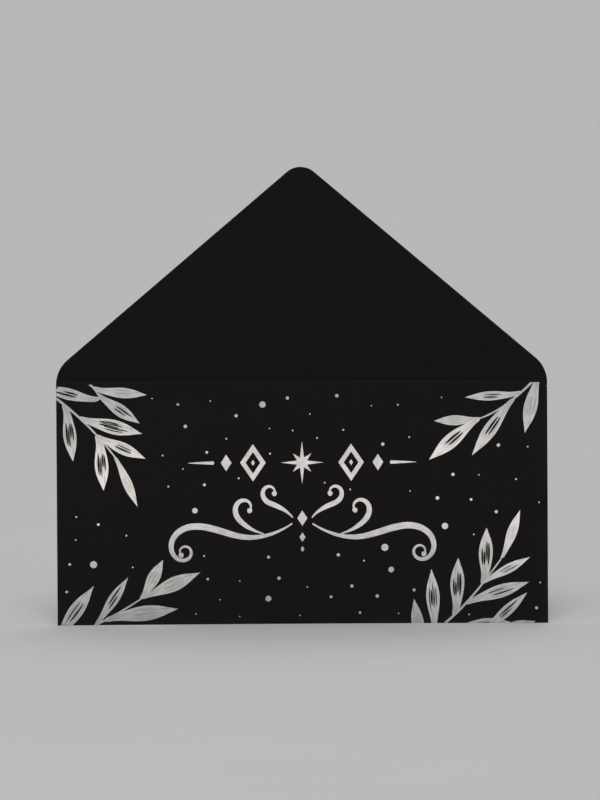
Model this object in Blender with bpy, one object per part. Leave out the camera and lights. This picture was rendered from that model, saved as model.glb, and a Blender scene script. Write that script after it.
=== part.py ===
# Money envelope: one blank of black card, scored, folded and glued, with its pointed flap open.
# Metres, +Z up. The printed front faces -Y. The origin is under the middle of the bottom fold.
import math

import bmesh
import bpy
from mathutils import Vector

# Card, glue and the clearance that neighbouring pieces keep
CARD = 0.00035
GLUE_FILM = 0.0001
CLEARANCE = 0.0003

# Pocket
WIDTH = 0.165
CREASE_HEIGHT = 0.082
BACK_HEIGHT = 0.076
BACK_INSET = 0.0005
BACK_CORNER_RADIUS = 0.002
FOLD_RADIUS = 0.0003

# Side tabs and their glue
TAB_WIDTH = 0.014
TAB_TAPER = math.radians(20)
TAB_CORNER_RADIUS = 0.002
GLUE_WIDTH = 0.005
GLUE_MARGIN = 0.004

# Flap: heights are above the crease line
FLAP_POINT_RISE = 0.0743
SHOULDER_RISE = 0.0042
TIP_RADIUS = 0.007
SHOULDER_RADIUS = 0.011

# Score pressed into the crease: a groove outside, a bead inside, where the card folds in
SCORE_WIDTH = 0.0009
GROOVE_DEPTH = 0.00012
BEAD_HEIGHT = 0.00016

ARC_STEP = math.radians(4)
SCORE_STEPS = 10

# The layers, from the printed face backwards: front panel, tab, glue, back panel
STACK = 3 * CARD + GLUE_FILM + 3 * CLEARANCE
FRONT_FACE = -STACK / 2
FRONT_MIDDLE = FRONT_FACE + CARD / 2
TAB_MIDDLE = FRONT_MIDDLE + CARD + CLEARANCE
GLUE_MIDDLE = TAB_MIDDLE + (CARD + GLUE_FILM) / 2 + CLEARANCE
BACK_MIDDLE = STACK / 2 - CARD / 2

# Shut, the flap lies flat behind the back panel. Its axis is halfway between its two places,
# and the crease is as wide as the half circle that the card then bends round.
SHUT_MIDDLE = BACK_MIDDLE + CARD + CLEARANCE
AXIS_DEPTH = (FRONT_MIDDLE + SHUT_MIDDLE) / 2
CREASE_WIDTH = math.pi * (AXIS_DEPTH - FRONT_MIDDLE)

PANEL_FOOT = CARD + CLEARANCE
FRONT_TOP = CREASE_HEIGHT - CREASE_WIDTH / 2 - CLEARANCE
FLAP_FOOT = CREASE_HEIGHT + CREASE_WIDTH / 2 + CLEARANCE
FOLD_INSET = CARD + CLEARANCE

# Upright sheets: the outline's x and y become the envelope's X and Z
UPRIGHT = (math.radians(90), 0, 0)
# Strips along X: the section's x and y become the envelope's Y and Z
CROSSWISE = (math.radians(90), 0, math.radians(90))

BLACK_CARD = (0.0091, 0.0080, 0.0089, 1)
FLAP_CARD = (0.0083, 0.0072, 0.0080, 1)
DRY_GLUE = (0.62, 0.60, 0.52, 1)


def clear_scene():
    for existing in list(bpy.data.objects):
        bpy.data.objects.remove(existing, do_unlink=True)


def new_collection(name):
    collection = bpy.data.collections.new(name)
    bpy.context.scene.collection.children.link(collection)
    return collection


def matte(name, colour, roughness):
    material = bpy.data.materials.new(name)
    material.use_nodes = True
    shader = material.node_tree.nodes["Principled BSDF"]
    shader.inputs["Base Color"].default_value = colour
    shader.inputs["Roughness"].default_value = roughness
    shader.inputs["Metallic"].default_value = 0
    return material


# The outline through corners (x, y, radius), anticlockwise, with each radius drawn as an arc.
# A radius is limited by the two edges that meet at its corner.
def rounded_outline(corners):
    outline = []
    for index, (x, y, radius) in enumerate(corners):
        corner = Vector((x, y))
        before = corners[index - 1]
        after = corners[(index + 1) % len(corners)]
        if radius == 0:
            outline.append(corner)
            continue
        back = Vector(before[:2]) - corner
        ahead = Vector(after[:2]) - corner
        room = min(back.length / (2 if before[2] else 1), ahead.length / (2 if after[2] else 1))
        back.normalize()
        ahead.normalize()
        half_angle = back.angle(ahead) / 2
        reach = min(radius / math.tan(half_angle), 0.98 * room)
        radius = reach * math.tan(half_angle)
        centre = corner + (back + ahead).normalized() * radius / math.sin(half_angle)
        first = corner + back * reach - centre
        turn = math.pi - 2 * half_angle
        if back.x * ahead.y - back.y * ahead.x > 0:
            turn = -turn
        start = math.atan2(first.y, first.x)
        steps = max(2, math.ceil(abs(turn) / ARC_STEP))
        for step in range(steps + 1):
            angle = start + turn * step / steps
            outline.append(centre + radius * Vector((math.cos(angle), math.sin(angle))))
    return outline


# A flat outline filled and extruded, as a mesh with its caps welded to its rim.
def extruded(name, outline, thickness, collection):
    curve = bpy.data.curves.new(name, "CURVE")
    curve.dimensions = "2D"
    curve.fill_mode = "BOTH"
    curve.extrude = thickness / 2
    spline = curve.splines.new("POLY")
    spline.points.add(len(outline) - 1)
    for point, place in zip(spline.points, outline):
        point.co = (place[0], place[1], 0, 1)
    spline.use_cyclic_u = True
    drawn = bpy.data.objects.new(name + "_outline", curve)
    collection.objects.link(drawn)
    evaluated = drawn.evaluated_get(bpy.context.evaluated_depsgraph_get())
    mesh = bpy.data.meshes.new_from_object(evaluated)
    welded = bmesh.new()
    welded.from_mesh(mesh)
    bmesh.ops.remove_doubles(welded, verts=welded.verts, dist=0.000001)
    bmesh.ops.recalc_face_normals(welded, faces=welded.faces)
    welded.to_mesh(mesh)
    welded.free()
    bpy.data.objects.remove(drawn, do_unlink=True)
    mesh.name = name
    solid = bpy.data.objects.new(name, mesh)
    collection.objects.link(solid)
    return solid


def place(solid, parent, location, rotation, material):
    solid.parent = parent
    solid.location = Vector(location) - parent.location
    solid.rotation_euler = rotation
    solid.data.materials.append(material)


# A box from z_low to z_high, wide and deep enough to cut a band out of the flap's sheet.
def band_cutter(name, z_low, z_high, cutters):
    bpy.ops.mesh.primitive_cube_add(size=1, location=(0, 0, (z_low + z_high) / 2))
    cutter = bpy.context.object
    cutter.name = name
    cutter.scale = (2 * WIDTH, 4 * STACK, z_high - z_low)
    hide_as_cutter(cutter, cutters)
    return cutter


def hide_as_cutter(cutter, cutters):
    for collection in list(cutter.users_collection):
        collection.objects.unlink(cutter)
    cutters.objects.link(cutter)
    cutter.hide_render = True
    cutter.display_type = "WIRE"


def keep_inside(solid, cutter):
    cut = solid.modifiers.new("keep_inside", "BOOLEAN")
    cut.operation = "INTERSECT"
    cut.solver = "EXACT"
    cut.object = cutter


def rectangle(x_low, x_high, z_low, z_high, top_radius=0):
    return rounded_outline(
        [
            (x_low, z_low, 0),
            (x_high, z_low, 0),
            (x_high, z_high, top_radius),
            (x_low, z_high, top_radius),
        ]
    )


# The sheet above the front panel, from the foot of the crease to the round tip.
def flap_outline():
    foot = CREASE_HEIGHT - CREASE_WIDTH / 2
    shoulder = CREASE_HEIGHT + SHOULDER_RISE
    point = CREASE_HEIGHT + FLAP_POINT_RISE
    return rounded_outline(
        [
            (-WIDTH / 2, foot, 0),
            (WIDTH / 2, foot, 0),
            (WIDTH / 2, shoulder, SHOULDER_RADIUS),
            (0, point, TIP_RADIUS),
            (-WIDTH / 2, shoulder, SHOULDER_RADIUS),
        ]
    )


# The crease in section, depth by height: card with a groove outside and a bead inside.
def crease_section():
    low = CREASE_HEIGHT - CREASE_WIDTH / 2
    high = CREASE_HEIGHT + CREASE_WIDTH / 2
    wave = []
    for step in range(SCORE_STEPS + 1):
        share = step / SCORE_STEPS
        swell = (1 - math.cos(2 * math.pi * share)) / 2
        wave.append((CREASE_HEIGHT + (share - 0.5) * SCORE_WIDTH, swell))
    outside = [(FRONT_FACE + GROOVE_DEPTH * swell, z) for z, swell in reversed(wave)]
    inside = [(FRONT_FACE + CARD + BEAD_HEIGHT * swell, z) for z, swell in wave]
    return [
        (FRONT_FACE, low),
        (FRONT_FACE + CARD, low),
        *inside,
        (FRONT_FACE + CARD, high),
        (FRONT_FACE, high),
        *outside,
    ]


def build_panels(parts, envelope):
    front = extruded(
        "front_panel",
        rectangle(FOLD_INSET - WIDTH / 2, WIDTH / 2 - FOLD_INSET, PANEL_FOOT, FRONT_TOP),
        CARD,
        parts,
    )
    place(front, envelope, (0, FRONT_MIDDLE, 0), UPRIGHT, matte("front_card", BLACK_CARD, 0.7))

    half_back = WIDTH / 2 - BACK_INSET
    back = extruded(
        "back_panel",
        rectangle(-half_back, half_back, PANEL_FOOT, BACK_HEIGHT, BACK_CORNER_RADIUS),
        CARD,
        parts,
    )
    place(back, envelope, (0, BACK_MIDDLE, 0), UPRIGHT, matte("back_card", BLACK_CARD, 0.7))


# The fold underneath runs the full width, flat where it stands and round at its two edges.
def build_bottom_fold(parts, envelope):
    section = rounded_outline(
        [
            (-STACK / 2, 0, FOLD_RADIUS),
            (STACK / 2, 0, FOLD_RADIUS),
            (STACK / 2, CARD, 0),
            (-STACK / 2, CARD, 0),
        ]
    )
    fold = extruded("bottom_fold", section, WIDTH, parts)
    place(fold, envelope, (0, 0, 0), CROSSWISE, matte("bottom_fold_card", BLACK_CARD, 0.65))


# One side: its fold, the tab turned in behind the front panel, and the glue on the tab.
def build_side(name, side, parts, envelope):
    outer = side * WIDTH / 2
    inner = side * (WIDTH / 2 - CARD)
    tab_back = TAB_MIDDLE + CARD / 2
    corners = [
        (outer, FRONT_FACE, FOLD_RADIUS),
        (outer, tab_back, FOLD_RADIUS),
        (inner, tab_back, 0),
        (inner, FRONT_FACE, 0),
    ]
    fold = extruded(name + "_side_fold", rounded_outline(corners[::side]), FRONT_TOP - PANEL_FOOT, parts)
    fold_middle = (0, 0, (PANEL_FOOT + FRONT_TOP) / 2)
    place(fold, envelope, fold_middle, (0, 0, 0), matte(name + "_fold_card", BLACK_CARD, 0.65))

    root = side * (WIDTH / 2 - FOLD_INSET)
    edge = root - side * TAB_WIDTH
    drop = TAB_WIDTH * math.tan(TAB_TAPER)
    corners = [
        (root, PANEL_FOOT, 0),
        (root, FRONT_TOP, 0),
        (edge, FRONT_TOP - drop, TAB_CORNER_RADIUS),
        (edge, PANEL_FOOT + drop, TAB_CORNER_RADIUS),
    ]
    tab = extruded(name + "_glue_tab", rounded_outline(corners[::side]), CARD, parts)
    place(tab, envelope, (0, TAB_MIDDLE, 0), UPRIGHT, matte(name + "_tab_card", BLACK_CARD, 0.7))

    glue_outer = (root + edge) / 2 + side * GLUE_WIDTH / 2
    glue_inner = glue_outer - side * GLUE_WIDTH
    glue_low = PANEL_FOOT + drop + GLUE_MARGIN
    glue_high = min(BACK_HEIGHT, FRONT_TOP - drop) - GLUE_MARGIN
    corners = [
        (glue_outer, glue_low, GLUE_WIDTH / 2),
        (glue_outer, glue_high, GLUE_WIDTH / 2),
        (glue_inner, glue_high, GLUE_WIDTH / 2),
        (glue_inner, glue_low, GLUE_WIDTH / 2),
    ]
    glue = extruded(name + "_glue_line", rounded_outline(corners[::side]), GLUE_FILM, parts)
    place(glue, envelope, (0, GLUE_MIDDLE, 0), UPRIGHT, matte(name + "_glue", DRY_GLUE, 0.45))


# The crease and the flap are two bands of one sheet, so both are cut from its outline.
def build_crease_and_flap(parts, cutters, envelope):
    sheet = extruded("flap_sheet", flap_outline(), 4 * STACK, cutters)
    sheet.rotation_euler = UPRIGHT
    hide_as_cutter(sheet, cutters)
    crease = extruded("flap_crease", crease_section(), 2 * WIDTH, parts)
    place(crease, envelope, (0, 0, 0), CROSSWISE, matte("crease_card", BLACK_CARD, 0.6))
    keep_inside(crease, sheet)

    axis = bpy.data.objects.new("flap_axis", None)
    axis.location = (0, AXIS_DEPTH, CREASE_HEIGHT)
    parts.objects.link(axis)
    top = CREASE_HEIGHT + 2 * FLAP_POINT_RISE
    flap = extruded("closure_flap", flap_outline(), CARD, parts)
    place(flap, axis, (0, FRONT_MIDDLE, 0), UPRIGHT, matte("flap_card", FLAP_CARD, 0.7))
    keep_inside(flap, band_cutter("flap_band", FLAP_FOOT, top, cutters))


def build():
    clear_scene()
    parts = new_collection("money_envelope")
    cutters = new_collection("cutters")
    envelope = bpy.data.objects.new("envelope", None)
    parts.objects.link(envelope)
    build_panels(parts, envelope)
    build_bottom_fold(parts, envelope)
    for name, side in (("left", -1), ("right", 1)):
        build_side(name, side, parts, envelope)
    build_crease_and_flap(parts, cutters, envelope)


build()
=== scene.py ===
import math
import random
from contextlib import contextmanager

import bmesh
import bpy
from mathutils import Euler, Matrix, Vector


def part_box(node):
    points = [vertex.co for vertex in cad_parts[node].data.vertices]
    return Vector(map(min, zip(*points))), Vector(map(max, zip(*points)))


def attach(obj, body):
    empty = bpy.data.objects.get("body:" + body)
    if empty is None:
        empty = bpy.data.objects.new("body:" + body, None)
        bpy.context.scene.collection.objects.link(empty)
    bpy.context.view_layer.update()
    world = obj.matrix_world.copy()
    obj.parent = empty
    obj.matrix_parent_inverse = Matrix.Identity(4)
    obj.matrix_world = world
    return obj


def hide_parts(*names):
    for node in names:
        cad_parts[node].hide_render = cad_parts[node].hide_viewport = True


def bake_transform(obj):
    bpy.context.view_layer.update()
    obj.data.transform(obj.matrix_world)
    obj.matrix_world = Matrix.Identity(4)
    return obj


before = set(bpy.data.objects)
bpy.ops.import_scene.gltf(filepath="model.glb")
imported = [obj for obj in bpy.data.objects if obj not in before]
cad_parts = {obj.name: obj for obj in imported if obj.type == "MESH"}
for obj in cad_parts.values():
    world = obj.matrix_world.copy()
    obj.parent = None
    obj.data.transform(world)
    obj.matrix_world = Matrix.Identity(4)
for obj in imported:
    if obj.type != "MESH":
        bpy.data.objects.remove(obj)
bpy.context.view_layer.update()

mm = 0.001
weld = 0.001 * mm  # what lies closer is joined
print("frame loaded with", len(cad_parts), "nodes")

# Where the card lies, read from the frame
frontLow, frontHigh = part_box("front_panel")
backLow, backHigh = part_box("back_panel")
tabLow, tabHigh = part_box("right_glue_tab")
creaseLow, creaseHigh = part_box("flap_crease")
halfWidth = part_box("bottom_fold")[1].x
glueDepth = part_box("right_glue_line")[0].y
cardThickness = frontHigh.y - frontLow.y
frontDepth = (frontLow.y + frontHigh.y) / 2
tabDepth = (tabLow.y + tabHigh.y) / 2
backDepth = (backLow.y + backHigh.y) / 2
creaseHeight = (creaseLow.z + creaseHigh.z) / 2
bendRadius = (tabDepth - frontDepth) / 2  # of the middle of the card
footLine = cardThickness / 2 + bendRadius
sideLine = halfWidth - cardThickness / 2 - bendRadius
footFlat = backDepth - frontDepth - 2 * bendRadius
quarterBend = bendRadius * math.pi / 2
blankFoot = footLine - 2 * quarterBend - footFlat  # where the back panel starts on the flat blank

# A pocket that has been handled is never dead flat
panelShape = {
    "bow": 1.5 * mm,  # how far the two bottom corners come forward
    "ripple": 0.06 * mm, "rippleWidth": 60 * mm,
}


def byMath(operation, swapped=False):
    return lambda *values: calc(operation, *(values[::-1] if swapped else values))


most, least = byMath("MAXIMUM"), byMath("MINIMUM")


# A value in the node tree that is being built. Arithmetic and comparisons add Math nodes, and
# unpacking it gives all the outputs of its node
class Wire:
    tree = None
    __add__ = byMath("ADD")
    __mul__ = __rmul__ = byMath("MULTIPLY")
    __sub__, __rsub__ = byMath("SUBTRACT"), byMath("SUBTRACT", swapped=True)
    __truediv__, __rtruediv__ = byMath("DIVIDE"), byMath("DIVIDE", swapped=True)
    __pow__, __abs__ = byMath("POWER"), byMath("ABSOLUTE")
    __gt__, __lt__ = byMath("GREATER_THAN"), byMath("LESS_THAN")

    def __init__(self, socket):
        self.socket = socket

    def __getitem__(self, key):
        return Wire(self.socket.node.outputs[key])


def feed(socket, value):
    if isinstance(value, Wire):
        Wire.tree.links.new(value.socket, socket)
    else:
        socket.default_value = value


def setAll(thing, **settings):
    for name, value in settings.items():
        setattr(thing, name, value)
    return thing


def addNode(kind, inputs=None, **settings):
    node = setAll(Wire.tree.nodes.new(kind), **settings)
    for key, value in (inputs or {}).items():
        feed(node.inputs[key], value)
    return Wire(node.outputs[0])


def calc(operation, *values):
    return addNode("ShaderNodeMath", dict(enumerate(values)), operation=operation)


def vectorCalc(operation, first, second):
    key = "Scale" if operation == "SCALE" else 1
    return addNode("ShaderNodeVectorMath", {0: first, key: second}, operation=operation)


def combine(x=0.0, y=0.0, z=0.0):
    return addNode("ShaderNodeCombineXYZ", {0: x, 1: y, 2: z})


def split(vector):
    return addNode("ShaderNodeSeparateXYZ", {0: vector})


def choose(factor, first, second):
    return addNode("ShaderNodeMix", {0: factor, 2: first, 3: second})


def remap(value, fromLow, fromHigh, toLow=0.0, toHigh=1.0, smooth=False):
    inputs = {0: value, 1: fromLow, 2: fromHigh, 3: toLow, 4: toHigh}
    kind = "SMOOTHSTEP" if smooth else "LINEAR"
    return addNode("ShaderNodeMapRange", inputs, interpolation_type=kind)


def noise(place, size, detail):
    return addNode("ShaderNodeTexNoise", {"Vector": place, "Scale": 1 / size, "Detail": detail})


def stretch(place, scale, turn=0.0):
    return addNode("ShaderNodeMapping", {0: place, 2: (0, 0, turn), 3: scale})


def chance(inputs):
    return addNode("FunctionNodeRandomValue", inputs)[1]


def position():
    return addNode("GeometryNodeInputPosition")


def move(geometry, place, key="Position"):
    return addNode("GeometryNodeSetPosition", {"Geometry": geometry, key: place})


def store(geometry, name, value, kind="FLOAT", domain="POINT"):
    inputs = {"Geometry": geometry, "Name": name, "Value": value}
    return addNode("GeometryNodeStoreNamedAttribute", inputs, data_type=kind, domain=domain)


def stored(name, kind="FLOAT"):
    return addNode("GeometryNodeInputNamedAttribute", {"Name": name}, data_type=kind)


def alongCurve(curve, factor):
    return addNode("GeometryNodeSampleCurve", {"Curves": curve, "Factor": factor}, mode="FACTOR")


def join(*parts):
    whole = addNode("GeometryNodeJoinGeometry")
    for part in parts:
        Wire.tree.links.new(part.socket, whole.socket.node.inputs[0])
    return whole


# Columns by distance from the output, so that trees can be read in the editor
def arrangeNodes(across=220, down=180):
    columns, heights = {}, {}

    def walk(node, column):
        if columns.get(node, -1) < column:
            columns[node] = column
            for socket in node.inputs:
                for link in socket.links:
                    walk(link.from_node, column + 1)

    for node in Wire.tree.nodes:
        if not any(socket.links for socket in node.outputs):
            walk(node, 0)
    for node, column in columns.items():
        heights[column] = heights.get(column, 0) + 1
        node.location = (-across * column, -down * heights[column])


# Makes a node group of a function that is handed its inputs in order and returns its outputs.
# Each input has a first value, or the kind of its socket
def nodeGroup(kind, inputs, *outputs, sort="Float"):
    sockets = [("INPUT", name, first) for name, first in inputs.items()]
    sockets += [("OUTPUT", name, sort) for name in outputs]

    def build(draw):
        Wire.tree = bpy.data.node_groups.new(draw.__name__, kind + "NodeTree")
        for side, name, first in sockets:
            label = {float: "Float", int: "Int"}.get(type(first), first)
            socket = Wire.tree.interface.new_socket(
                name=name, in_out=side, socket_type="NodeSocket" + label
            )
            if label != first:
                socket.default_value = first
        given = Wire(Wire.tree.nodes.new("NodeGroupInput").outputs[0])
        results = Wire.tree.nodes.new("NodeGroupOutput").inputs
        made = draw(*[given[name] for name in inputs if name != "Finish"])
        if "Finish" in inputs:
            whole = addNode("GeometryNodeRealizeInstances", {0: made})
            made = addNode("GeometryNodeSetMaterial", {0: whole, "Material": given["Finish"]})
        for name, value in zip(outputs, [made] if isinstance(made, Wire) else made):
            feed(results[name], value)
        arrangeNodes()
        return Wire.tree

    return build


# A piece's tree ends in real geometry with the piece's finish on it
def pieceGroup(inputs):
    inputs = {"Geometry": "Geometry", **inputs, "Finish": "Material"}
    return nodeGroup("Geometry", inputs, "Geometry", sort="Geometry")


def addGroup(group, *values, **named):
    inputs = {**dict(enumerate(values)), **named}
    return addNode(group.bl_idname.replace("Tree", "Group"), inputs, node_tree=group)


def newPiece(name, data):
    piece = bpy.data.objects.new(name, data)
    bpy.context.scene.collection.objects.link(piece)
    return piece


def dressWith(piece, group, settings):
    modifier = piece.modifiers.new(group.name, "NODES")
    modifier.node_group = group
    for item in group.interface.items_tree:
        if item.in_out == "INPUT" and item.name in settings:
            modifier[item.identifier] = settings[item.name]


# The modifiers' result becomes the piece's own plain mesh
def settle(piece, sharpAngle=math.radians(35)):
    bpy.context.view_layer.update()
    graph = bpy.context.evaluated_depsgraph_get()
    shape = bpy.data.meshes.new_from_object(
        piece.evaluated_get(graph), preserve_all_data_layers=True, depsgraph=graph
    )
    piece.modifiers.clear()
    piece.data = shape
    shape.name = piece.name
    shape.shade_smooth()
    shape.set_sharp_from_angle(angle=sharpAngle)
    return piece


# Opens a mesh for work by hand and writes it back
@contextmanager
def working(mesh):
    flat = bmesh.new()
    flat.from_mesh(mesh)
    yield flat
    flat.to_mesh(mesh)
    flat.free()


def flatMesh(name, outlines):
    mesh = bpy.data.meshes.new(name)
    with working(mesh) as flat:
        for outline in outlines:
            flat.faces.new([flat.verts.new((x, y, 0)) for x, y in outline])
    return mesh


def joinedMesh(name, pieces):
    mesh = bpy.data.meshes.new(name)
    with working(mesh) as whole:
        for piece in pieces:
            whole.from_mesh(piece.data)
    return mesh


# Cuts a flat mesh along lines x = place or y = place, so that it can bend there, and drops
# what lies past them on the outward side
def cutAcross(flat, axis, places, outward=0):
    for place in places:
        point, normal = [0, 0, 0], [0, 0, 0]
        point[axis], normal[axis] = place, outward or 1
        everything = flat.verts[:] + flat.edges[:] + flat.faces[:]
        bmesh.ops.bisect_plane(
            flat, geom=everything, dist=1e-7, plane_co=point, plane_no=normal,
            clear_outer=bool(outward),
        )


def steps(low, high, count):
    return [low + (high - low) * step / count for step in range(count + 1)]


def cells(cell, first, last, start=0):
    return [start + index * cell for index in range(first, last + 1)]


def onCircle(x, y, radius, angle):
    return (x + radius * math.cos(angle), y + radius * math.sin(angle))


# Corners (x, y, radius) anticlockwise, each radius drawn as an arc
def roundCorners(corners, arcStep=math.radians(4)):
    outline = []
    for index, (x, y, radius) in enumerate(corners):
        corner = Vector((x, y))
        if not radius:
            outline.append(corner)
            continue
        back = (Vector(corners[index - 1][:2]) - corner).normalized()
        ahead = (Vector(corners[(index + 1) % len(corners)][:2]) - corner).normalized()
        halfAngle = back.angle(ahead) / 2
        centre = corner + (back + ahead).normalized() * radius / math.sin(halfAngle)
        first = corner + back * radius / math.tan(halfAngle) - centre
        turn = math.copysign(math.pi - 2 * halfAngle, ahead.cross(back))
        start = math.atan2(first.y, first.x)
        for angle in steps(start, start + turn, max(2, math.ceil(abs(turn) / arcStep))):
            outline.append(centre + radius * Vector((math.cos(angle), math.sin(angle))))
    return outline


# Uncoated card: fine tooth, stray fibres and a faint cloudiness
@nodeGroup(
    "Shader", {"Place": "Vector", "Tooth": 0.0, "Fibre": 0.0, "Cloud": 0.0},
    "Tone", "Gloss", "Relief",
)
def paperGrain(place, tooth, fibre, cloud):
    tooth, cloud = noise(place, tooth, 3.0), noise(place, cloud, 4.0)
    fibres = 0.0
    for turn in (0.5, 1.9, 2.9):
        strand = noise(stretch(place, (0.22, 2.4, 1), turn), fibre, 1.0)
        fibres = most(fibres, remap(strand, 0.66, 0.74))
    tone = remap(cloud, 0.3, 0.7, 0.25, 0.75) + remap(tooth, 0.2, 0.8, -0.2, 0.2)
    return tone + fibres * 0.15, remap(cloud + tooth, 0.6, 1.4), tooth + fibres * 0.35


# Hot foil: the press leaves fine streaks, a soft mottle and pin-prick dull spots,
# and the block's hatching shows as broken hairlines where Hatch says
@nodeGroup(
    "Shader",
    {"Place": "Vector", "Streak": 0.0, "Mottle": 0.0, "Grit": 0.0, "Hairline": 0.0, "Hatch": 0.0},
    "Tone", "Dull", "Relief",
)
def foilPress(place, streak, mottle, grit, hairline, hatch):
    streak = noise(stretch(place, (0.1, 1, 1)), streak, 3.0)
    mottle, grit = noise(place, mottle, 2.0), noise(place, grit, 2.0)
    hairline = remap(noise(stretch(place, (0.07, 1, 1)), hairline, 1.0), 0.52, 0.6)
    tone = remap(streak, 0.36, 0.64, 0, 0.6) + remap(mottle, 0.3, 0.7, 0, 0.4)
    dull = most(remap(grit, 0.6, 0.75), remap(streak, 0.55, 0.8))
    return tone - hairline * hatch, dull, streak * 0.5 + grit


def newMaterial(name):
    material = bpy.data.materials.new(name)
    material.use_nodes = True
    Wire.tree = material.node_tree
    return material


def blend(factor, first, second):
    return addNode("ShaderNodeMix", {0: factor, 6: first, 7: second}, data_type="RGBA")[2]


def attribute(name):
    return addNode("ShaderNodeAttribute", attribute_name=name)


# Gloss runs between the look's two roughnesses, and relief is that of the same grain
def dressMaterial(material, look, colour, gloss, relief):
    shader = Wire.tree.nodes["Principled BSDF"].inputs
    feed(shader["Base Color"], colour)
    feed(shader["Roughness"], remap(gloss, 0, 1, *look["roughness"]))
    bump = {"Height": relief, "Strength": look["bump"], "Distance": look["relief"]}
    feed(shader["Normal"], addNode("ShaderNodeBump", bump))
    feed(shader["Metallic"], look.get("metal", 0))
    feed(shader["Specular IOR Level"], look.get("shine", 0.5))
    arrangeNodes()
    return material


cardLook = {
    "deep": (0.0062, 0.0048, 0.0055, 1),
    "pale": (0.0090, 0.0070, 0.0080, 1),
    "worn": (0.018, 0.0165, 0.017, 1),
    "pressed": 0.5,  # painted light: how much paler the front panel below the crease is painted, standing in for the light that falls on it more than on the flap
    "roughness": (0.60, 0.76), "shine": 0.05, "bump": 0.55, "relief": 0.012 * mm,
    "grain": {"Tooth": 0.16 * mm, "Fibre": 0.5 * mm, "Cloud": 14 * mm},
}
mapSpan = 0.25  # metres of card across the blank's own map
mapCorner = (-0.1, -0.08)  # where the map starts


def makeBlackCard():
    material = newMaterial("blackCard")
    # the blank's flat map in metres, so that the grain folds with the card
    place = stretch(addNode("ShaderNodeUVMap", uv_map="blank"), (mapSpan, mapSpan, mapSpan))
    paper = addGroup(paperGrain, place, **cardLook["grain"])
    # painted light: the front panel below the crease is painted paler than the flap, for the
    # stronger light that falls on it
    pressed = attribute("printedSide")["Fac"] * cardLook["pressed"]
    colour = blend(paper["Tone"] + pressed, cardLook["deep"], cardLook["pale"])
    wear = attribute("foldWear")["Fac"] * remap(paper["Relief"], 0.35, 0.65)
    wear = wear * remap(paper["Gloss"], 0.35, 0.75, 0.1, 1)
    colour = blend(wear, colour, cardLook["worn"])
    return dressMaterial(material, cardLook, colour, paper["Gloss"], paper["Relief"])


# The die's cut through the card, where its fibres show paler. The paler colour is partly real fibre
# and partly a painted highlight for the light that the cut rim catches
edgeLook = {
    "colours": ((0.010, 0.0092, 0.0095, 1), (0.034, 0.031, 0.031, 1)),
    "toneEnds": (0.3, 0.85),
    "roughness": (0.78, 0.92), "shine": 0.2, "bump": 0.8, "relief": 0.03 * mm,
    "grain": {"Tooth": 0.09 * mm, "Fibre": 0.3 * mm, "Cloud": 5 * mm},
}
glueLook = {
    "colours": ((0.62, 0.60, 0.52, 1), (0.50, 0.46, 0.35, 1)),  # clear and yellowed
    "toneEnds": (0, 1),
    "roughness": (0.3, 0.55), "bump": 0.5, "relief": 0.05 * mm,
    "grain": {"Tooth": 0.5 * mm, "Fibre": 2 * mm, "Cloud": 4 * mm},
}


def makeGrained(name, look):
    material = newMaterial(name)
    grain = addGroup(paperGrain, addNode("ShaderNodeTexCoord")["Object"], **look["grain"])
    colour = blend(remap(grain["Tone"], *look["toneEnds"]), *look["colours"])
    return dressMaterial(material, look, colour, grain["Gloss"], grain["Relief"])


foilLook = {
    "bright": (0.97, 0.955, 0.935, 1),
    "dim": (0.58, 0.569, 0.553, 1),
    "roughness": (0.14, 0.27), "metal": 1, "bump": 0.25, "relief": 0.01 * mm,
    "grain": {"Streak": 0.32 * mm, "Mottle": 4 * mm, "Grit": 0.12 * mm, "Hairline": 0.4 * mm},
    "hatch": 0.85,  # how dark the hairlines in the leaves are
    "hatchEnds": (0.45, 0.85),  # where they fade, from midrib 0 to rim 1
    "pressing": 0.22,  # how much leaves differ in tone
}


def makeSilverFoil():
    material = newMaterial("silverFoil")
    grain = attribute("grain")["Vector"]
    rim = abs(split(grain)[2])
    hatch = remap(rim, *foilLook["hatchEnds"], foilLook["hatch"], 0.0, smooth=True)
    place = vectorCalc("MULTIPLY", grain, (1, 1, 0))
    foil = addGroup(foilPress, place, **foilLook["grain"], Hatch=hatch)
    differ = foilLook["pressing"]
    tone = foil["Tone"] + remap(attribute("pressing")["Fac"], 0, 1, -differ, differ)
    colour = blend(tone, foilLook["dim"], foilLook["bright"])
    return dressMaterial(material, foilLook, colour, foil["Dull"], foil["Relief"])


blackCard = makeBlackCard()
cutEdge = makeGrained("cutEdge", edgeLook)
silverFoil = makeSilverFoil()
dryGlue = makeGrained("dryGlue", glueLook)
print("card, edge, foil and glue finishes made")


# The slight bow that card, print and glue share
@nodeGroup("Geometry", {"Place": "Vector", "Bow": 0.0, "Ripple": 0.0}, "Bowed", sort="Vector")
def panelBow(place, bow, ripple):
    x, _, z = split(place)
    below = remap(z, 0.0, creaseHeight, 1.0, 0.0)
    forward = abs(x / halfWidth) ** 2.0 * below**1.5 * bow
    wave = noise(combine(x, 0.0, z), panelShape["rippleWidth"], 0.0)
    back = remap(wave, 0.25, 0.75, -1.0, 1.0) * ripple - forward
    return vectorCalc("ADD", place, combine(0.0, back, 0.0))


# One crease: card past distance 0 turns up through Angle round Radius
@nodeGroup(
    "Geometry", {"Distance": 0.0, "Depth": 0.0, "Radius": 0.0, "Angle": 0.0}, "Distance", "Depth"
)
def creaseBend(distance, depth, radius, angle):
    arc = radius * angle
    turned = least(most(distance, 0.0), arc) / radius
    past = most(distance - arc, 0.0)
    sine, cosine = calc("SINE", turned), calc("COSINE", turned)
    reach = least(distance, 0.0) + radius * sine + past * cosine
    rise = radius * (1.0 - cosine) + past * sine
    return reach - depth * sine, rise + depth * cosine


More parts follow.
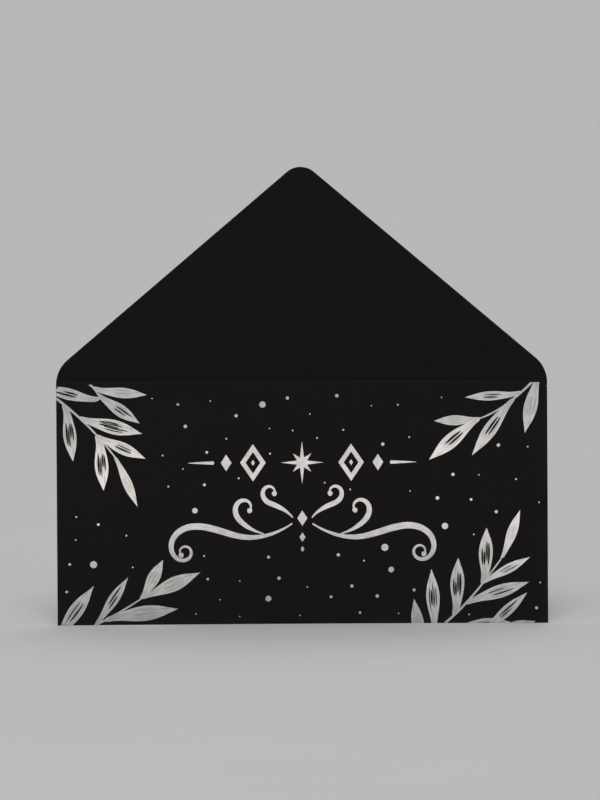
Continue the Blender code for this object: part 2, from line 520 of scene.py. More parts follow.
cardShape = {
    "backCorner": 2 * mm, "tabCorner": 2 * mm, "tabTaper": math.radians(20),
    "shoulderRise": 4.2 * mm, "shoulderRadius": 11 * mm,
    "pointRise": 74.3 * mm, "tipRadius": 7 * mm,
    "scoreWidth": 0.9 * mm, "scoreDepth": 0.13 * mm,
    "notch": 0.1 * mm,  # relief beside each fold's end
    "edgeBevel": 0.07 * mm,
    "cell": 4 * mm,
    "bendCuts": (8, 6, 18),  # how often a side fold, a foot bend and the hinge are cut
    "hinge": 0.8 * mm,  # half the width that bends as the flap turns
    "tabSpring": 3 * mm,  # how far a tab springs back from its fold
    "backPress": (2 * mm, 8 * mm),  # up the back panel, where its margins press down
    "marginPress": (-5 * mm, 1 * mm),  # across the tab's inner edge
    "rubbed": (0.1 * mm, 1.1 * mm),  # from a fold, where its wear fades
    "scoreShelter": 0.55 * mm,  # so that the score is less rubbed than the folds
}


# The blank as the die cuts it: across is X, and up from the foot of the front panel is Y
def blankOutline():
    shape = cardShape
    notch = shape["notch"]
    tabFoot = sideLine + math.pi * bendRadius
    tabEdge = tabFoot + sideLine - tabLow.x
    tabStart = tabFoot + sideLine - tabHigh.x
    drop = (tabEdge - tabStart) * math.tan(shape["tabTaper"])
    backEnd = blankFoot - (backHigh.z - footLine)
    right = [
        (backHigh.x, backEnd, shape["backCorner"]), (backHigh.x, blankFoot - 2 * notch, 0),
        (halfWidth, blankFoot + notch, 0), (halfWidth, footLine - notch, 0),
        (sideLine, footLine, 0), (sideLine + notch, tabLow.z, 0), (tabStart, tabLow.z, 0),
        (tabEdge, tabLow.z + drop, shape["tabCorner"]),
        (tabEdge, tabHigh.z - drop, shape["tabCorner"]),
        (tabStart, tabHigh.z, 0), (sideLine + notch, tabHigh.z, 0),
        (sideLine, tabHigh.z + notch, 0), (halfWidth, tabHigh.z + 2 * notch, 0),
        (halfWidth, creaseHeight + shape["shoulderRise"], shape["shoulderRadius"]),
    ]
    point = [(0, creaseHeight + shape["pointRise"], shape["tipRadius"])]
    left = [(-x, y, radius) for x, y, radius in reversed(right)]
    return roundCorners(right + point + left)


def makeBlank():
    cell, hinge = cardShape["cell"], cardShape["hinge"]
    sideCuts, footCuts, hingeCuts = cardShape["bendCuts"]
    sideFold = steps(sideLine, sideLine + math.pi * bendRadius, sideCuts)
    tabCuts = cells(cell, 1, 3, sideFold[-1])
    up = steps(footLine - quarterBend, footLine, footCuts)
    up += steps(blankFoot, blankFoot + quarterBend, footCuts)
    up += cells(cell, -18, -1, blankFoot) + cells(cell, 1, 19)
    up += steps(creaseHeight - hinge, creaseHeight + hinge, hingeCuts)
    up += [creaseHeight - cell / 2, creaseHeight + cell / 2] + cells(cell, 1, 18, creaseHeight)
    mesh = flatMesh("foldedCard", [blankOutline()])
    with working(mesh) as flat:
        cutAcross(flat, 0, cells(cell, -20, 20) + sideFold + tabCuts)
        cutAcross(flat, 0, [-x for x in sideFold + tabCuts])
        cutAcross(flat, 1, up)
        layer = flat.loops.layers.uv.new("blank")
        for face in flat.faces:
            for loop in face.loops:
                loop[layer].uv = [(at - low) / mapSpan for at, low in zip(loop.vert.co, mapCorner)]
    mesh.materials.append(blackCard)
    mesh.materials.append(cutEdge)
    return mesh


# What bends the card, the foil and the glue alike
panelSettings = {
    "Bend radius": bendRadius, "Front depth": frontDepth, "Side line": sideLine,
    "Foot line": footLine, "Bow": panelShape["bow"], "Ripple": panelShape["ripple"],
}
foldSettings = {
    **panelSettings,
    "Foot flat": footFlat, "Tab top": tabHigh.z + cardShape["notch"],
    "Seat": glueDepth - tabHigh.y, "Tab width": sideLine - tabLow.x,
    "Score height": creaseHeight, "Score width": cardShape["scoreWidth"],
    "Score depth": cardShape["scoreDepth"],
}


# Folds the blank: the back panel up, the tabs in, and the score pressed in at the flap
@pieceGroup(foldSettings)
def foldCard(
    blank, radius, front, sideAt, foot, bow, ripple, flatWidth, tabTop, seat, tabWidth, scoreAt,
    scoreWidth, scoreDepth,
):
    quarter = math.pi / 2
    across, up, _ = split(position())

    # underneath: two quarter bends with a narrow flat between them, the farther one first
    second = radius * quarter + flatWidth
    below = foot - up
    outer = addGroup(creaseBend, below - second, 0.0, radius, quarter)
    inner = addGroup(creaseBend, outer["Distance"] + second, outer["Depth"], radius, quarter)

    # at the sides, a half turn that lays each tab behind the front panel
    beyond = abs(across) - sideAt
    side = addGroup(creaseBend, beyond, 0.0, radius, math.pi)
    onTab = (up > foot) * (up < tabTop)
    x = choose(onTab, across, calc("SIGN", across) * (sideAt + side["Distance"]))
    depth = choose(onTab, inner["Depth"], side["Depth"])

    # the tab springs back a little, and the back panel's margins are pressed down on to it
    spring = remap(beyond - radius * math.pi, 0.0, cardShape["tabSpring"], smooth=True)
    behind = remap(below, *cardShape["backPress"], smooth=True)
    margin = remap(beyond + tabWidth, *cardShape["marginPress"], smooth=True)
    depth = depth + (spring * onTab - margin * behind) * seat

    # the score: a groove outside and its bead inside
    fromScore = abs(up - scoreAt)
    swing = least(fromScore / scoreWidth, 0.5) * (2 * math.pi)
    depth = depth + remap(calc("COSINE", swing), -1.0, 1.0) * scoreDepth + front

    # how rubbed the card is, by its distance from the nearest fold
    toSide = abs(beyond - radius * quarter) + (1.0 - onTab)
    toFoot = abs(below - radius * 0.8)
    nearest = least(least(toSide, toFoot), fromScore + cardShape["scoreShelter"])
    rubbed = remap(nearest, *cardShape["rubbed"], 1.0, 0.0, smooth=True)
    # painted light: the front panel below the crease, marked so that the card's colour is painted
    # paler there than on the flap
    paintedLightMask = (up > foot) * (beyond < 0.0) * (up < scoreAt)
    marked = store(store(blank, "foldWear", rubbed), "printedSide", paintedLightMask)
    standing = combine(x, depth, foot - inner["Distance"])
    return move(marked, addGroup(panelBow, standing, bow, ripple))


def makeFoldedCard():
    card = newPiece("folded_card", makeBlank())
    dressWith(card, foldCard, {**foldSettings, "Finish": blackCard})
    setAll(
        card.modifiers.new("thickness", "SOLIDIFY"), thickness=cardThickness, offset=0,
        use_even_offset=True, material_offset_rim=1,
    )
    setAll(
        card.modifiers.new("dieCut", "BEVEL"), width=cardShape["edgeBevel"], segments=2,
        material=1, limit_method="ANGLE", angle_limit=math.radians(60), use_clamp_overlap=False,
    )
    return settle(card)


foldedCard = makeFoldedCard()
print("card folded:", len(foldedCard.data.polygons), "faces")


# Print and glue are drawn flat, then laid on the panel
@pieceGroup({"Depth": 0.0, **panelSettings})
def layOnPanel(drawing, depth, radius, front, sideAt, foot, bow, ripple):
    x, y, z = split(position())
    own = stored("grain", "FLOAT_VECTOR")
    inputs = {0: own["Exists"], "False": combine(x, y, 1.0), "True": own}
    grain = addNode("GeometryNodeSwitch", inputs, input_type="VECTOR")
    grained = store(drawing, "grain", grain, "FLOAT_VECTOR")
    side = addGroup(creaseBend, abs(x) - sideAt, depth - z - front, radius, math.pi)
    under = addGroup(creaseBend, foot - y, side["Depth"], radius, math.pi)
    across = calc("SIGN", x) * (sideAt + side["Distance"])
    upright = combine(across, under["Depth"] + front, foot - under["Distance"])
    return move(grained, addGroup(panelBow, upright, bow, ripple))


foilShape = {
    "proud": 0.03 * mm, "sunk": 0.01 * mm, "cell": 4 * mm,
    "sideBleed": 0.75 * math.pi,  # the angle that it runs on round a side fold
    "footBleed": 2 / 3,  # of the first bend underneath
    "creaseGap": 0.05 * mm,  # from the width that bends as the flap turns
    "notchGap": 0.1 * mm,  # from the ends of a side fold
}
sideBleed = steps(sideLine, sideLine + foilShape["sideBleed"] * bendRadius, 6)
footBleed = steps(footLine, footLine - quarterBend * foilShape["footBleed"], 4)
foldCuts = (sideBleed + [-place for place in sideBleed], footBleed)


# Stands a flat drawing on the panel and thickens it towards the front. A large one is cut in
# cells first, so that it can follow the bow
def layPiece(piece, depth, thickness, finish, cell=None):
    if cell:
        with working(piece.data) as flat:
            for axis in (0, 1):
                cutAcross(flat, axis, cells(cell, -25, 25) + foldCuts[axis])
    dressWith(piece, layOnPanel, {"Depth": depth, "Finish": finish, **panelSettings})
    setAll(piece.modifiers.new("thickness", "SOLIDIFY"), thickness=thickness, offset=1)
    return settle(piece)


# A pen stroke: a band along a path that swells, thins and may end in a ball
strokeInputs = {"Steps": 40, "Thin": 0.0, "Wide": 0.0, "Peak": 0.0, "Ball": 0.0}


@nodeGroup("Geometry", {"Curve": "Geometry", **strokeInputs}, "Mesh", sort="Geometry")
def bandAlong(curve, count, thin, wide, peak, ball):
    size = {"Size X": 1.0, "Size Y": 1.0, "Vertices X": count, "Vertices Y": 2}
    grid = addNode("GeometryNodeMeshGrid", size)
    x, y, _ = split(position())
    factor = x + 0.5
    sample = alongCurve(curve, factor)
    length = addNode("GeometryNodeCurveLength", {0: curve})
    share = least(factor / most(peak, 0.0001), (1.0 - factor) / (1.0 - peak))
    swell = calc("SINE", most(share, 0.0) * (math.pi / 2)) ** 1.3
    width = remap(swell, 0.0, 1.0, thin, wide)
    toBall = (1.0 - factor) * length - ball
    chord = calc("SQRT", most(ball * ball - toBall * toBall, 0.0)) * 2.0
    inBall = (toBall < 0.0) * (ball > 0.0)
    aside = y * choose(inBall, most(width, chord), chord)
    grained = store(grid, "grain", combine(factor * length, aside, 1.0), "FLOAT_VECTOR")
    course = split(sample["Tangent"])
    shift = vectorCalc("SCALE", combine(course[1] * -1.0, course[0]), aside)
    moved = move(grained, vectorCalc("ADD", sample["Position"], shift))
    return addNode("GeometryNodeMergeByDistance", {"Geometry": moved, "Distance": weld})


# Twigs reach in from the corners. Places are in millimetres from the middle of the foot. Each
# twig has its stem's three points, then its leaves: how far along the stem one grows, where
# its tip lies, its width and its kind
twigShape = {
    "tree": {
        "Stem width": 0.78 * mm, "Leaf length": 15 * mm, "Leaf width": 4.2 * mm,
        "Leaf neck": 1.9 * mm, "Leaf bend": 0.05, "Leaf hook": 0.8, "Slit width": 0.4 * mm,
        "Layer": 0.002 * mm,  # between leaves that cross each other's feet
    },
    "hookReach": 0.12,  # share of a leaf in which its base turns away from the stem
    "leans": (-1, -0.5, 0, 0.5, 1),  # the forms of leaf, from hooked right to hooked left
    "leanest": 0.7,  # sine of the angle to the stem at which a leaf is hooked most
    "corners": (48, 14),  # of a leaf's outline and of a slit
    "kinds": ((0, 1.0), (2, 1.0), (5, 0.8)),  # slits in a leaf, and their share of the width
    "plainest": 0.4,  # share of neck and bend in the plainest leaf
    "stemTip": 0.6,  # width of a stem's ends, as a share of its middle
    "slitStart": (0.3, 0.44),  # share of the leaf
    "slitSpan": (0.24, 0.42),
    "slitDrift": (-0.05, 0.05),
    "slitThickness": (0.42, 0.95),  # share of its width
    "twigs": {
        "upper_left": (
            ((-83.9, 77.7), (-71.7, 68.6), (-62.8, 56.6)),
            (0.16, -77.0, 55.4, 4.4, 2), (0.39, -53.7, 64.5, 4.9, 2), (0.67, -66.8, 45.5, 4.6, 2),
            (0.67, -52.6, 56.1, 4.0, 1), (0.98, -55.4, 39.9, 3.1, 0),
        ),
        "upper_left_top": (
            ((-74.6, 83.0), (-70.2, 82.0), (-67.7, 76.4)),
            (0.54, -52.1, 77.6, 3.5, 0), (1.0, -86.9, 80.2, 3.9, 1), (0.79, -54.5, 68.0, 4.1, 1),
        ),
        "upper_right": (
            ((80.1, 84.0), (69.1, 72.2), (59.9, 69.1)),
            (0.0, 74.9, 64.1, 4.5, 0), (0.34, 54.9, 76.2, 3.1, 1), (0.46, 57.1, 56.6, 4.4, 1),
            (0.99, 44.4, 68.3, 3.4, 0), (1.0, 42.7, 55.2, 4.8, 1),
        ),
        "lower_left": (
            ((-70.3, -0.1), (-62.7, 3.3), (-54.4, 8.8)),
            (0.02, -58.7, 16.1, 3.5, 1), (0.2, -42.0, 5.3, 5.1, 0), (0.98, -46.9, 21.9, 4.1, 0),
            (1.0, -34.4, 17.6, 4.8, 0),
        ),
        "lower_left_corner": (
            ((-87.0, -9.0), (-85.6, -7.4), (-84.0, -5.7)),
            (1.0, -70.2, 13.3, 4.8, 1),
        ),
        "lower_right": (
            ((46.4, -0.9), (54.5, 4.6), (66.7, 21.6)),
            (0.18, 52.3, 22.0, 4.7, 2), (0.36, 76.1, 13.8, 4.4, 1), (0.65, 61.9, 32.1, 4.7, 2),
            (0.66, 76.5, 22.2, 3.1, 1), (1.0, 73.2, 38.1, 3.3, 0),
        ),
        "lower_right_foot": (
            ((50.4, -0.9), (57.0, -2.2), (62.6, -3.2)),
            (0.0, 70.6, 0.2, 4.3, 1), (0.76, 75.4, 10.2, 3.5, 1), (0.98, 78.2, 0.6, 3.7, 0),
        ),
        "lower_middle": (
            ((36.9, -14.1), (39.7, -10.7), (43.9, -3.0)),
            (0.27, 37.4, 8.2, 4.2, 0), (1.0, 43.3, 18.3, 4.5, 2),
        ),
    },
}
hookReach = twigShape["hookReach"]
leafSizes = dict.fromkeys(("Length", "Width", "Neck", "Bend", "Hook", "Slit width"), 0.0)


# One leaf along X from its foot at the origin, with a few fine slits cut out of it
@nodeGroup("Geometry", {**leafSizes, "Slits": 3, "Seed": 0}, "Mesh", sort="Geometry")
def leafShape(length, width, neck, bend, hook, slitWidth, slits, seed):
    def halfWidthAt(along):
        swell = most(calc("SINE", along**1.2 * math.pi), 0.0) ** 1.45
        rest = most(1.0 - along, 0.0)
        stalk = calc("SQRT", rest) * (1.0 - rest**40.0) * (1.0 - swell)
        return (swell * width + stalk * neck) * 0.5

    def archAt(along):
        fade = calc("EXPONENT", along / -hookReach)
        return (bend * along**1.8 + hook * (hookReach - fade * hookReach)) * length

    def arched(along, offset):
        return combine(along * length, archAt(along) + offset)

    def ring(corners):
        return addNode("GeometryNodeCurvePrimitiveCircle", {"Resolution": corners, "Radius": 1.0})

    def slitChance(name, shift):
        low, high = twigShape[name]
        return chance({2: low, 3: high, "ID": number, "Seed": seed + shift})

    outlineCorners, slitCorners = twigShape["corners"]
    x, y, _ = split(position())
    halfway = remap(x, 1.0, -1.0)
    side = calc("SIGN", y + (abs(y) < 0.001) * 0.002)
    outline = move(ring(outlineCorners), arched(halfway, halfWidthAt(halfway) * side))

    inputs = {"Geometry": ring(slitCorners), "Amount": slits}
    copies = addNode("GeometryNodeDuplicateElements", inputs, domain="SPLINE")
    number = copies["Duplicate Index"]
    middle = (slits - 1.0) * 0.5
    lane = (number - middle) / most(middle, 1.0)
    along = slitChance("slitStart", 1) + halfway * slitChance("slitSpan", 2)
    drift = lane * 0.5 + slitChance("slitDrift", 3)
    thick = slitWidth * slitChance("slitThickness", 4)
    cuts = move(copies, arched(along, drift * halfWidthAt(along) + y * thick))
    filled = addNode("GeometryNodeFillCurve", {"Curve": join(outline, cuts)}, mode="TRIANGLES")

    # the grain runs along the leaf; its third number is 0 on the midrib and 1 at the rim
    share = x / length
    aside = y - archAt(most(share, 0.0))
    toRim = aside / most(halfWidthAt(share), 0.01 * mm)
    return store(filled, "grain", combine(x, aside, toRim), "FLOAT_VECTOR")


stemPoints = ("Stem start", "Stem middle", "Stem end")


# A bowed stem with a leaf for each point of its mesh. A point lies where the leaf's tip goes,
# and holds how far along the stem it grows (share), its width and its kind
@pieceGroup({**dict.fromkeys(stemPoints, "Vector"), **twigShape["tree"], "Seed": 0})
def leafyTwig(
    tips, start, middle, end, stemWidth, leafLength, leafWidth, leafNeck, leafBend, leafHook,
    slitWidth, layer, seed,
):
    ends = {"Resolution": 40, "Start": start, "Middle": middle, "End": end}
    stem = addNode("GeometryNodeCurveQuadraticBezier", ends)
    band = addGroup(bandAlong, stem, Thin=stemWidth * twigShape["stemTip"], Wide=stemWidth)
    leans, lastLean = twigShape["leans"], len(twigShape["leans"]) - 1.0

    def shareOf(step):
        return step * (1 - twigShape["plainest"]) + twigShape["plainest"]

    # leaves to pick from, in each lean and each kind
    pots = []
    for lean in leans:
        for kind, (slitCount, slitShare) in enumerate(twigShape["kinds"]):
            leaf = {
                "Length": leafLength, "Width": leafWidth, "Neck": leafNeck * shareOf(abs(lean)),
                "Bend": leafBend * (lean * shareOf(kind)), "Hook": leafHook * lean,
                "Slits": slitCount, "Slit width": slitWidth * slitShare,
                "Seed": seed + (11.0 * kind + 10 * lean),
            }
            pots.append(addNode("GeometryNodeGeometryToInstance", {0: addGroup(leafShape, **leaf)}))
    shelf = join(*reversed(pots))

    sample = alongCurve(stem, stored("share"))
    reach = split(vectorCalc("SUBTRACT", position(), sample["Position"]))
    course = split(sample["Tangent"])
    distance = calc("SQRT", reach[0] ** 2.0 + reach[1] ** 2.0)
    across = course[0] * reach[1] - course[1] * reach[0]
    leanest = twigShape["leanest"]
    lean = calc("ROUND", remap(across / distance, -leanest, leanest, lastLean, 0.0))
    kind = stored("kind")

    # a hooked leaf's tip lies off its axis, so the leaf is turned back by that much
    slope = leafBend * shareOf(kind) + leafHook * hookReach
    slope = slope * remap(lean, 0.0, lastLean, leans[0], leans[-1])
    wide = stored("width") / leafWidth
    long = distance / leafLength
    aside = calc("ARCTAN2", slope * wide, long)
    long = long * calc("COSINE", aside)
    heading = combine(long, wide, calc("ARCTAN2", reach[1], reach[0]) - aside)
    held = store(tips, "heading", heading, "FLOAT_VECTOR")
    held = store(held, "form", lean * len(twigShape["kinds"]) + kind)
    turned = split(stored("heading", "FLOAT_VECTOR"))
    inputs = {
        "Points": move(held, sample["Position"]),
        "Instance": shelf, "Pick Instance": True, "Instance Index": stored("form"),
        "Rotation": combine(0.0, 0.0, turned[2]), "Scale": combine(turned[0], turned[1], 1.0),
    }
    grown = addNode("GeometryNodeInstanceOnPoints", inputs)
    lift = (addNode("GeometryNodeInputIndex") + 1.0) * layer
    layered = move(grown, combine(0.0, 0.0, lift), "Offset")
    tone = chance({"Seed": seed + 60.0})
    toned = store(layered, "pressing", tone, domain="INSTANCE")
    return join(toned, band)


# The print bleeds round the folds, and stops at the crease and at the folds' notches
def trimToPanel(mesh):
    top = creaseHeight - cardShape["hinge"] - foilShape["creaseGap"]
    foldLow, foldHigh = tabLow.z + foilShape["notchGap"], tabHigh.z - foilShape["notchGap"]
    with working(mesh) as flat:
        ends = ((0, sideBleed[-1], 1), (0, -sideBleed[-1], -1), (1, footBleed[-1], -1), (1, top, 1))
        for axis, place, outward in ends:
            cutAcross(flat, axis, [place], outward)
        cutAcross(flat, 0, [-sideLine, sideLine])
        cutAcross(flat, 1, [foldLow, foldHigh])
        offPanel = [
            face for face in flat.faces
            if abs(face.calc_center_median().x) > sideLine
            and not foldLow < face.calc_center_median().y < foldHigh
        ]
        bmesh.ops.delete(flat, geom=offPanel, context="FACES")


def makeTwig(name, stem, leaves, seed):
    shares, across, up, widths, kinds = zip(*leaves)
    mesh = bpy.data.meshes.new(name)
    mesh.from_pydata([(x * mm, y * mm, 0) for x, y in zip(across, up)], [], [])
    columns = {"share": shares, "width": [width * mm for width in widths], "kind": kinds}
    for column, values in columns.items():
        mesh.attributes.new(column, "FLOAT", "POINT").data.foreach_set("value", values)
    twig = newPiece(name, mesh)
    points = dict(zip(stemPoints, [(x * mm, y * mm, 0.0) for x, y in stem]))
    settings = {**points, **twigShape["tree"], "Seed": seed, "Finish": silverFoil}
    dressWith(twig, leafyTwig, settings)
    trimToPanel(settle(twig).data)
    return twig


twigs = [
    makeTwig(name + "_twig", stem, leaves, 3 + 4 * index)
    for index, (name, (stem, *leaves)) in enumerate(twigShape["twigs"].items())
]
print("twigs drawn:", len(twigs))

# The row of star and lozenges, in millimetres from its middle
rowShape = {
    "height": 54.5 * mm,
    "starReach": (7.2, 4.4, 1.8),  # long rays, short rays and the notches between them
    "lozenge": (8.6, 12.6, 1.5),  # across, up and the width of its line
    "small": (3.6, 5.6),
    "lozengeAt": 16.5, "smallAt": 25.5,
    "heart": 0.36,  # the lozenge's solid middle, as a share of a small one
    "line": (29.5, 38.5, 1.2),  # from, to and its width
}


def diamond(x, y, across, up):
    return [(x - across / 2, y), (x, y - up / 2), (x + across / 2, y), (x, y + up / 2)]


def makeStarRow():
    shape = rowShape
    long, short, dip = shape["starReach"]
    rays = enumerate((long, dip, short, dip) * 4)
    outlines = [[onCircle(0, 0, reach, step * math.pi / 8) for step, reach in rays]]
    across, up, line = shape["lozenge"]
    shrink = line * math.hypot(across, up) / up
    start, end, width = shape["line"]
    for side in (-1, 1):
        place = side * shape["lozengeAt"]
        outer = diamond(place, 0, across, up)
        inner = diamond(place, 0, across - 2 * shrink, up - 2 * shrink * up / across)
        for index in range(4):
            after = (index + 1) % 4
            outlines.append([outer[index], outer[after], inner[after], inner[index]])
        outlines.append(diamond(place, 0, *[shape["heart"] * size for size in shape["small"]]))
        outlines.append(diamond(side * shape["smallAt"], 0, *shape["small"]))
        taper = []
        for share in steps(0, 1, 32):
            thick = width / 2 * (1 - share) ** 0.7 if share else 0
            taper.append((side * (start + (end - start) * share), thick))
        stroke = [(x, -y) for x, y in taper] + taper[-2:0:-1]
        outlines.append(stroke[::side])
    raised = [[(x * mm, y * mm + shape["height"]) for x, y in outline] for outline in outlines]
    mesh = flatMesh("star_row", raised)
    with working(mesh) as joined:
        bmesh.ops.remove_doubles(joined, verts=joined.verts, dist=weld)
    return newPiece("star_row", mesh)


starRow = makeStarRow()

# The scroll under it, in millimetres. A stroke is where it starts and its heading, its
# widths (at its ends, at its widest, and where that is), then its runs. Each run is its
# length and the bends at its start and its end, in radians a millimetre
scrollShape = {
    "height": 34.5,
    "strokes": {
        "main": (
            (3.4, -0.6), -34, (0.5, 2.2, 0.45),
            (19, 0.03, 0.055), (13, 0.035, -0.05), (18, -0.06, -0.22), (15, -0.24, -0.66),
        ),
        "upper": ((13.0, -4.0), 14, (0.4, 1.8, 0.45), (9, 0.05, 0.07), (15, 0.12, 0.56)),
        "inner": ((3.2, 1.4), 52, (0.4, 1.7, 0.4), (9, -0.10, -0.02), (12.5, 0.17, 0.68)),
    },
    "ball": 0.85, "step": 0.12,
    "jewels": ((1.2, 3.4, 5.2), (-5.2, 2.0, 3.2), (-9.2, 1.2, 2.0)),  # height, across and up
}


def curl(start, heading, runs):
    x, y = start
    angle = math.radians(heading)
    path = [start]
    for length, bendStart, bendEnd in runs:
        count = max(2, round(length / scrollShape["step"]))
        for index in range(count):
            share = (index + 0.5) / count
            angle += (bendStart + (bendEnd - bendStart) * share) * length / count
            x += math.cos(angle) * length / count
            y += math.sin(angle) * length / count
            path.append((x, y))
    return path


@pieceGroup({"Path": "Object", **strokeInputs})
def penStroke(_, path, *stroke):
    path = addNode("GeometryNodeObjectInfo", {"Object": path})["Geometry"]
    return addGroup(bandAlong, path, *stroke)


def pathCurve(name, points):
    curve = bpy.data.curves.new(name, "CURVE")
    curve.dimensions = "3D"
    spline = curve.splines.new("POLY")
    spline.points.add(len(points) - 1)
    for point, (x, y) in zip(spline.points, points):
        point.co = (x * mm, y * mm, 0, 1)
    return newPiece(name, curve)


def makeScroll():
    shape = scrollShape
    strokes = []
    for name, ((x, y), heading, (thin, wide, peak), *runs) in shape["strokes"].items():
        path = curl((x, y + shape["height"]), heading, runs)
        for side in (-1, 1):
            guide = pathCurve(f"{name}_guide", [(side * px, py) for px, py in path])
            band = newPiece(f"{name}_stroke", bpy.data.meshes.new(name))
            settings = {
                "Path": guide, "Steps": len(path), "Thin": thin * mm, "Wide": wide * mm,
                "Peak": peak, "Ball": shape["ball"] * mm, "Finish": silverFoil,
            }
            dressWith(band, penStroke, settings)
            strokes.append(settle(band))
            bpy.data.objects.remove(guide)
    jewels = [diamond(0, shape["height"] + y, *size) for y, *size in shape["jewels"]]
    jewels = [[(x * mm, y * mm) for x, y in jewel] for jewel in jewels]
    strokes.append(newPiece("jewels", flatMesh("jewels", jewels)))
    scroll = newPiece("scroll", joinedMesh("scroll", strokes))
    for stroke in strokes:
        bpy.data.objects.remove(stroke)
    return scroll


scroll = makeScroll()
print("star row and scroll drawn")

# Dots, scattered clear of the ornaments
dotShape = {
    "tree": {
        "Spacing": 7.7 * mm,
        "Clear": 1.9 * mm,  # from a dot's rim to the nearest ornament
        "Small": 0.26 * mm, "Middling": 0.5 * mm, "Large": 1.0 * mm,  # radii
        "Seed": 11,
    },
    "shares": (0.45, 0.82),  # of dots up to the small radius, and up to the middling one
    "wobble": (0.86, 1.2),
    "sideMargin": 2 * mm,
    "endMargin": 2.5 * mm,  # from the panel's foot and its crease
    "density": 250000.0,
}


@pieceGroup({"Across": 0.1, "Low": 0.0, "High": 0.0, **dotShape["tree"]})
def dotScatter(ornaments, across, low, high, spacing, clear, small, middling, large, seed):
    size = {"Size X": across, "Size Y": high - low, "Vertices X": 2, "Vertices Y": 2}
    field = addNode("GeometryNodeMeshGrid", size)
    inputs = {
        "Mesh": move(field, combine(0.0, (high + low) * 0.5), "Offset"),
        "Distance Min": spacing, "Density Max": dotShape["density"], "Seed": seed,
    }
    spots = addNode("GeometryNodeDistributePointsOnFaces", inputs, distribute_method="POISSON")
    draw = chance({"Seed": seed + 7.0})
    smallShare, middlingShare = dotShape["shares"]
    larger = (draw > smallShare) * (middling - small)
    largest = (draw > middlingShare) * (large - middling)
    wobble = chance({2: dotShape["wobble"][0], 3: dotShape["wobble"][1], "Seed": seed + 8.0})
    sized = store(spots, "radius", (small + (larger + largest)) * wobble)
    radius = stored("radius")
    near = addNode("GeometryNodeProximity", {"Target": ornaments}, target_element="FACES")
    inputs = {"Geometry": sized, "Selection": near["Distance"] - radius < clear}
    kept = addNode("GeometryNodeDeleteGeometry", inputs, domain="POINT")
    disc = addNode("GeometryNodeMeshCircle", {"Vertices": 24, "Radius": 1.0}, fill_type="NGON")
    inputs = {"Points": kept, "Instance": disc, "Scale": combine(radius, radius, 1.0)}
    return addNode("GeometryNodeInstanceOnPoints", inputs)


def makeDots(ornaments):
    dots = newPiece("dots", joinedMesh("dots", ornaments))
    settings = {
        "Across": 2 * (sideLine - dotShape["sideMargin"]), "Low": dotShape["endMargin"],
        "High": creaseLow.z - dotShape["endMargin"], **dotShape["tree"], "Finish": silverFoil,
    }
    dressWith(dots, dotScatter, settings)
    return settle(dots)


dots = makeDots(twigs + [starRow, scroll])
print("dots scattered:", len(dots.data.polygons))

foilPieces = twigs + [starRow, scroll, dots]
for piece in foilPieces:
    cell = foilShape["cell"] if piece in twigs else None
    thickness = foilShape["proud"] + foilShape["sunk"]
    layPiece(piece, frontLow.y + foilShape["sunk"], thickness, silverFoil, cell)
print("foil laid on the front")

glueShape = {"waver": 0.25 * mm, "rows": 24, "arc": 12, "cell": 4 * mm, "seed": 21}


def makeGlueLine(name):
    shape = glueShape
    low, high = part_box(name)
    draw = random.Random(shape["seed"] + (low.x > 0))
    radius = (high.x - low.x) / 2
    centre = (low.x + high.x) / 2
    top, bottom = high.z - radius, low.z + radius
    outline = []
    for half, (end, edge, way) in enumerate(((top, low.x, -1), (bottom, high.x, 1))):
        for angle in steps(half * math.pi, (half + 1) * math.pi, shape["arc"]):
            outline.append(onCircle(centre, end, radius, angle))
        for row in range(1, shape["rows"]):
            y = end + way * (top - bottom) * row / shape["rows"]
            outline.append((edge - way * draw.uniform(0, shape["waver"]), y))
    line = newPiece(name + "_bead", flatMesh(name, [outline]))
    return layPiece(line, high.y, high.y - low.y, dryGlue, shape["cell"])


glueLines = {name: makeGlueLine(name) for name in ("left_glue_line", "right_glue_line")}
print("glue laid")

# Who rides on what
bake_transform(foldedCard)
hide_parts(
    "front_panel", "bottom_fold", "back_panel", "left_side_fold", "right_side_fold",
    "left_glue_tab", "right_glue_tab", "flap_crease", "closure_flap",
)
for piece in foilPieces:
    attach(piece, "pocket")
for name, line in glueLines.items():
    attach(line, "pocket")
    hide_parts(name)

stageLook = {
    "floor": (0.481, 0.481, 0.481, 1),
    "floorReach": 9,
    "mottle": 0.985,  # its darker patches
    "cloud": 1 / 9,  # their size in metres
    "roughness": (0.38, 0.42),
    "behind": (0.4793, 0.4793, 0.4793, 1),
    "skyLight": (0.15, 0.15, 0.15, 1),
    # strength, width, azimuth and elevation of the far lamps
    "overhead": (1.06, 88, 0, 88),
    "front": (1.6, 28, -1, 46),
    "rear": (0.55, 40, 172, 56),
    # strength, width, height, spread and place of the softboxes that the foil mirrors
    "lowBox": (0.0036, 0.38, 0.038, 70, (-0.038, -0.27, 0.0235)),
    "highBox": (0.13, 0.4, 0.4, 90, (-0.38, -0.85, 0.36)),
    "boxColour": (1, 0.97, 0.92),
}


def makeFloor():
    far = stageLook["floorReach"]
    corners = [(-far, -far), (far, -far), (far, far), (-far, far)]
    floor = newPiece("floor", flatMesh("floor", [corners]))
    material = newMaterial("paperBackdrop")
    shader = Wire.tree.nodes["Principled BSDF"].inputs
    cloud = noise(addNode("ShaderNodeTexCoord")["Object"], stageLook["cloud"], 3.0)
    grey = stageLook["floor"]
    soft = tuple(stageLook["mottle"] * part for part in grey[:3]) + (1,)
    feed(shader["Base Color"], blend(remap(cloud, 0.3, 0.7), soft, grey))
    feed(shader["Roughness"], remap(cloud, 0.3, 0.7, *stageLook["roughness"]))
    feed(shader["Specular IOR Level"], 0.0)
    floor.data.materials.append(material)


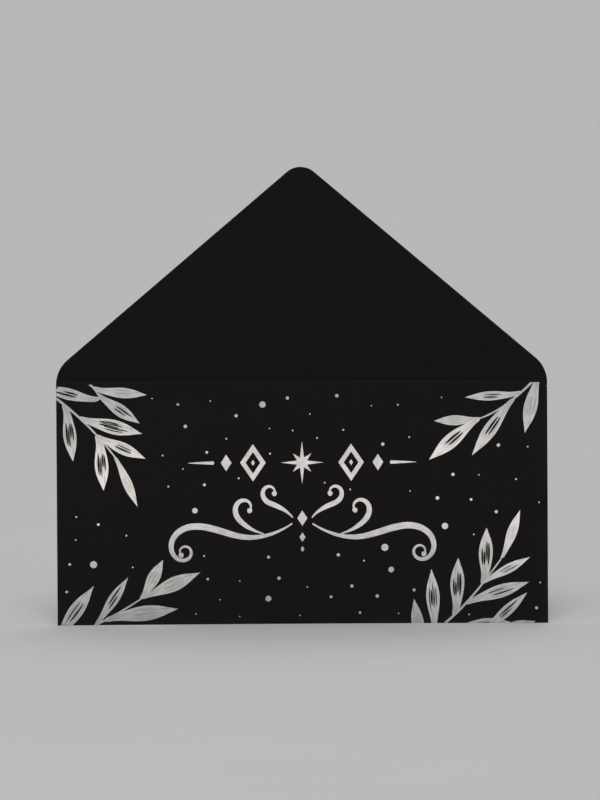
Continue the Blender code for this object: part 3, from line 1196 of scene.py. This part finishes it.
def makeSky():
    world = bpy.data.worlds.new("studio")
    bpy.context.scene.world = world
    world.use_nodes = True
    Wire.tree = world.node_tree
    Wire.tree.nodes.clear()
    rays = addNode("ShaderNodeLightPath")
    seen = most(rays["Is Camera Ray"], rays["Is Glossy Ray"])
    seen = most(seen, rays["Is Transmission Ray"])
    light = addNode("ShaderNodeBackground", {"Color": stageLook["skyLight"]})
    backdrop = addNode("ShaderNodeBackground", {"Color": stageLook["behind"]})
    both = addNode("ShaderNodeMixShader", {0: seen, 1: light, 2: backdrop})
    feed(Wire.tree.nodes.new("ShaderNodeOutputWorld").inputs["Surface"], both)
    arrangeNodes()


def direction(azimuth, elevation):
    turn, rise = math.radians(azimuth), math.radians(elevation)
    flat = math.cos(rise)
    return Vector((math.sin(turn) * flat, -math.cos(turn) * flat, math.sin(rise)))


def makeLight(name, kind, towards, **settings):
    piece = newPiece(name, setAll(bpy.data.lights.new(name, kind), **settings))
    piece.rotation_euler = towards.to_track_quat("-Z", "Y").to_euler()
    return piece


def makeLamp(name, strength, width, azimuth, elevation):
    towards = -direction(azimuth, elevation)
    makeLight(name, "SUN", towards, energy=strength, angle=math.radians(width))


def makeSoftbox(name, strength, width, height, spread, place):
    towards = Vector((0, 0, creaseHeight / 2)) - Vector(place)
    piece = makeLight(
        name, "AREA", towards, shape="RECTANGLE", size=width, size_y=height, energy=strength,
        spread=math.radians(spread), color=stageLook["boxColour"],
    )
    setAll(piece, visible_camera=False, location=place)


makeFloor()
makeSky()
for name in ("overhead", "front", "rear"):
    makeLamp(name, *stageLook[name])
for name in ("lowBox", "highBox"):
    makeSoftbox(name, *stageLook[name])

cameraView = {
    "target": (-0.00056, 0, 0.0755),
    "distance": 5.0, "elevation": 5.2, "roll": -0.33, "lens": 669.6, "clip": (0.1, 60),
}


def makeCamera():
    view = cameraView
    camera = newPiece("camera", bpy.data.cameras.new("camera"))
    near, far = view["clip"]
    setAll(camera.data, lens=view["lens"], clip_start=near, clip_end=far)
    back = direction(0, view["elevation"])
    camera.location = Vector(view["target"]) + back * view["distance"]
    aim = (-back).to_track_quat("-Z", "Y")
    roll = Euler((0, 0, math.radians(view["roll"]))).to_quaternion()
    camera.rotation_euler = (aim @ roll).to_euler()
    bpy.context.scene.camera = camera


makeCamera()
bpy.context.scene.view_settings.view_transform = "Standard"

print("scene ready")
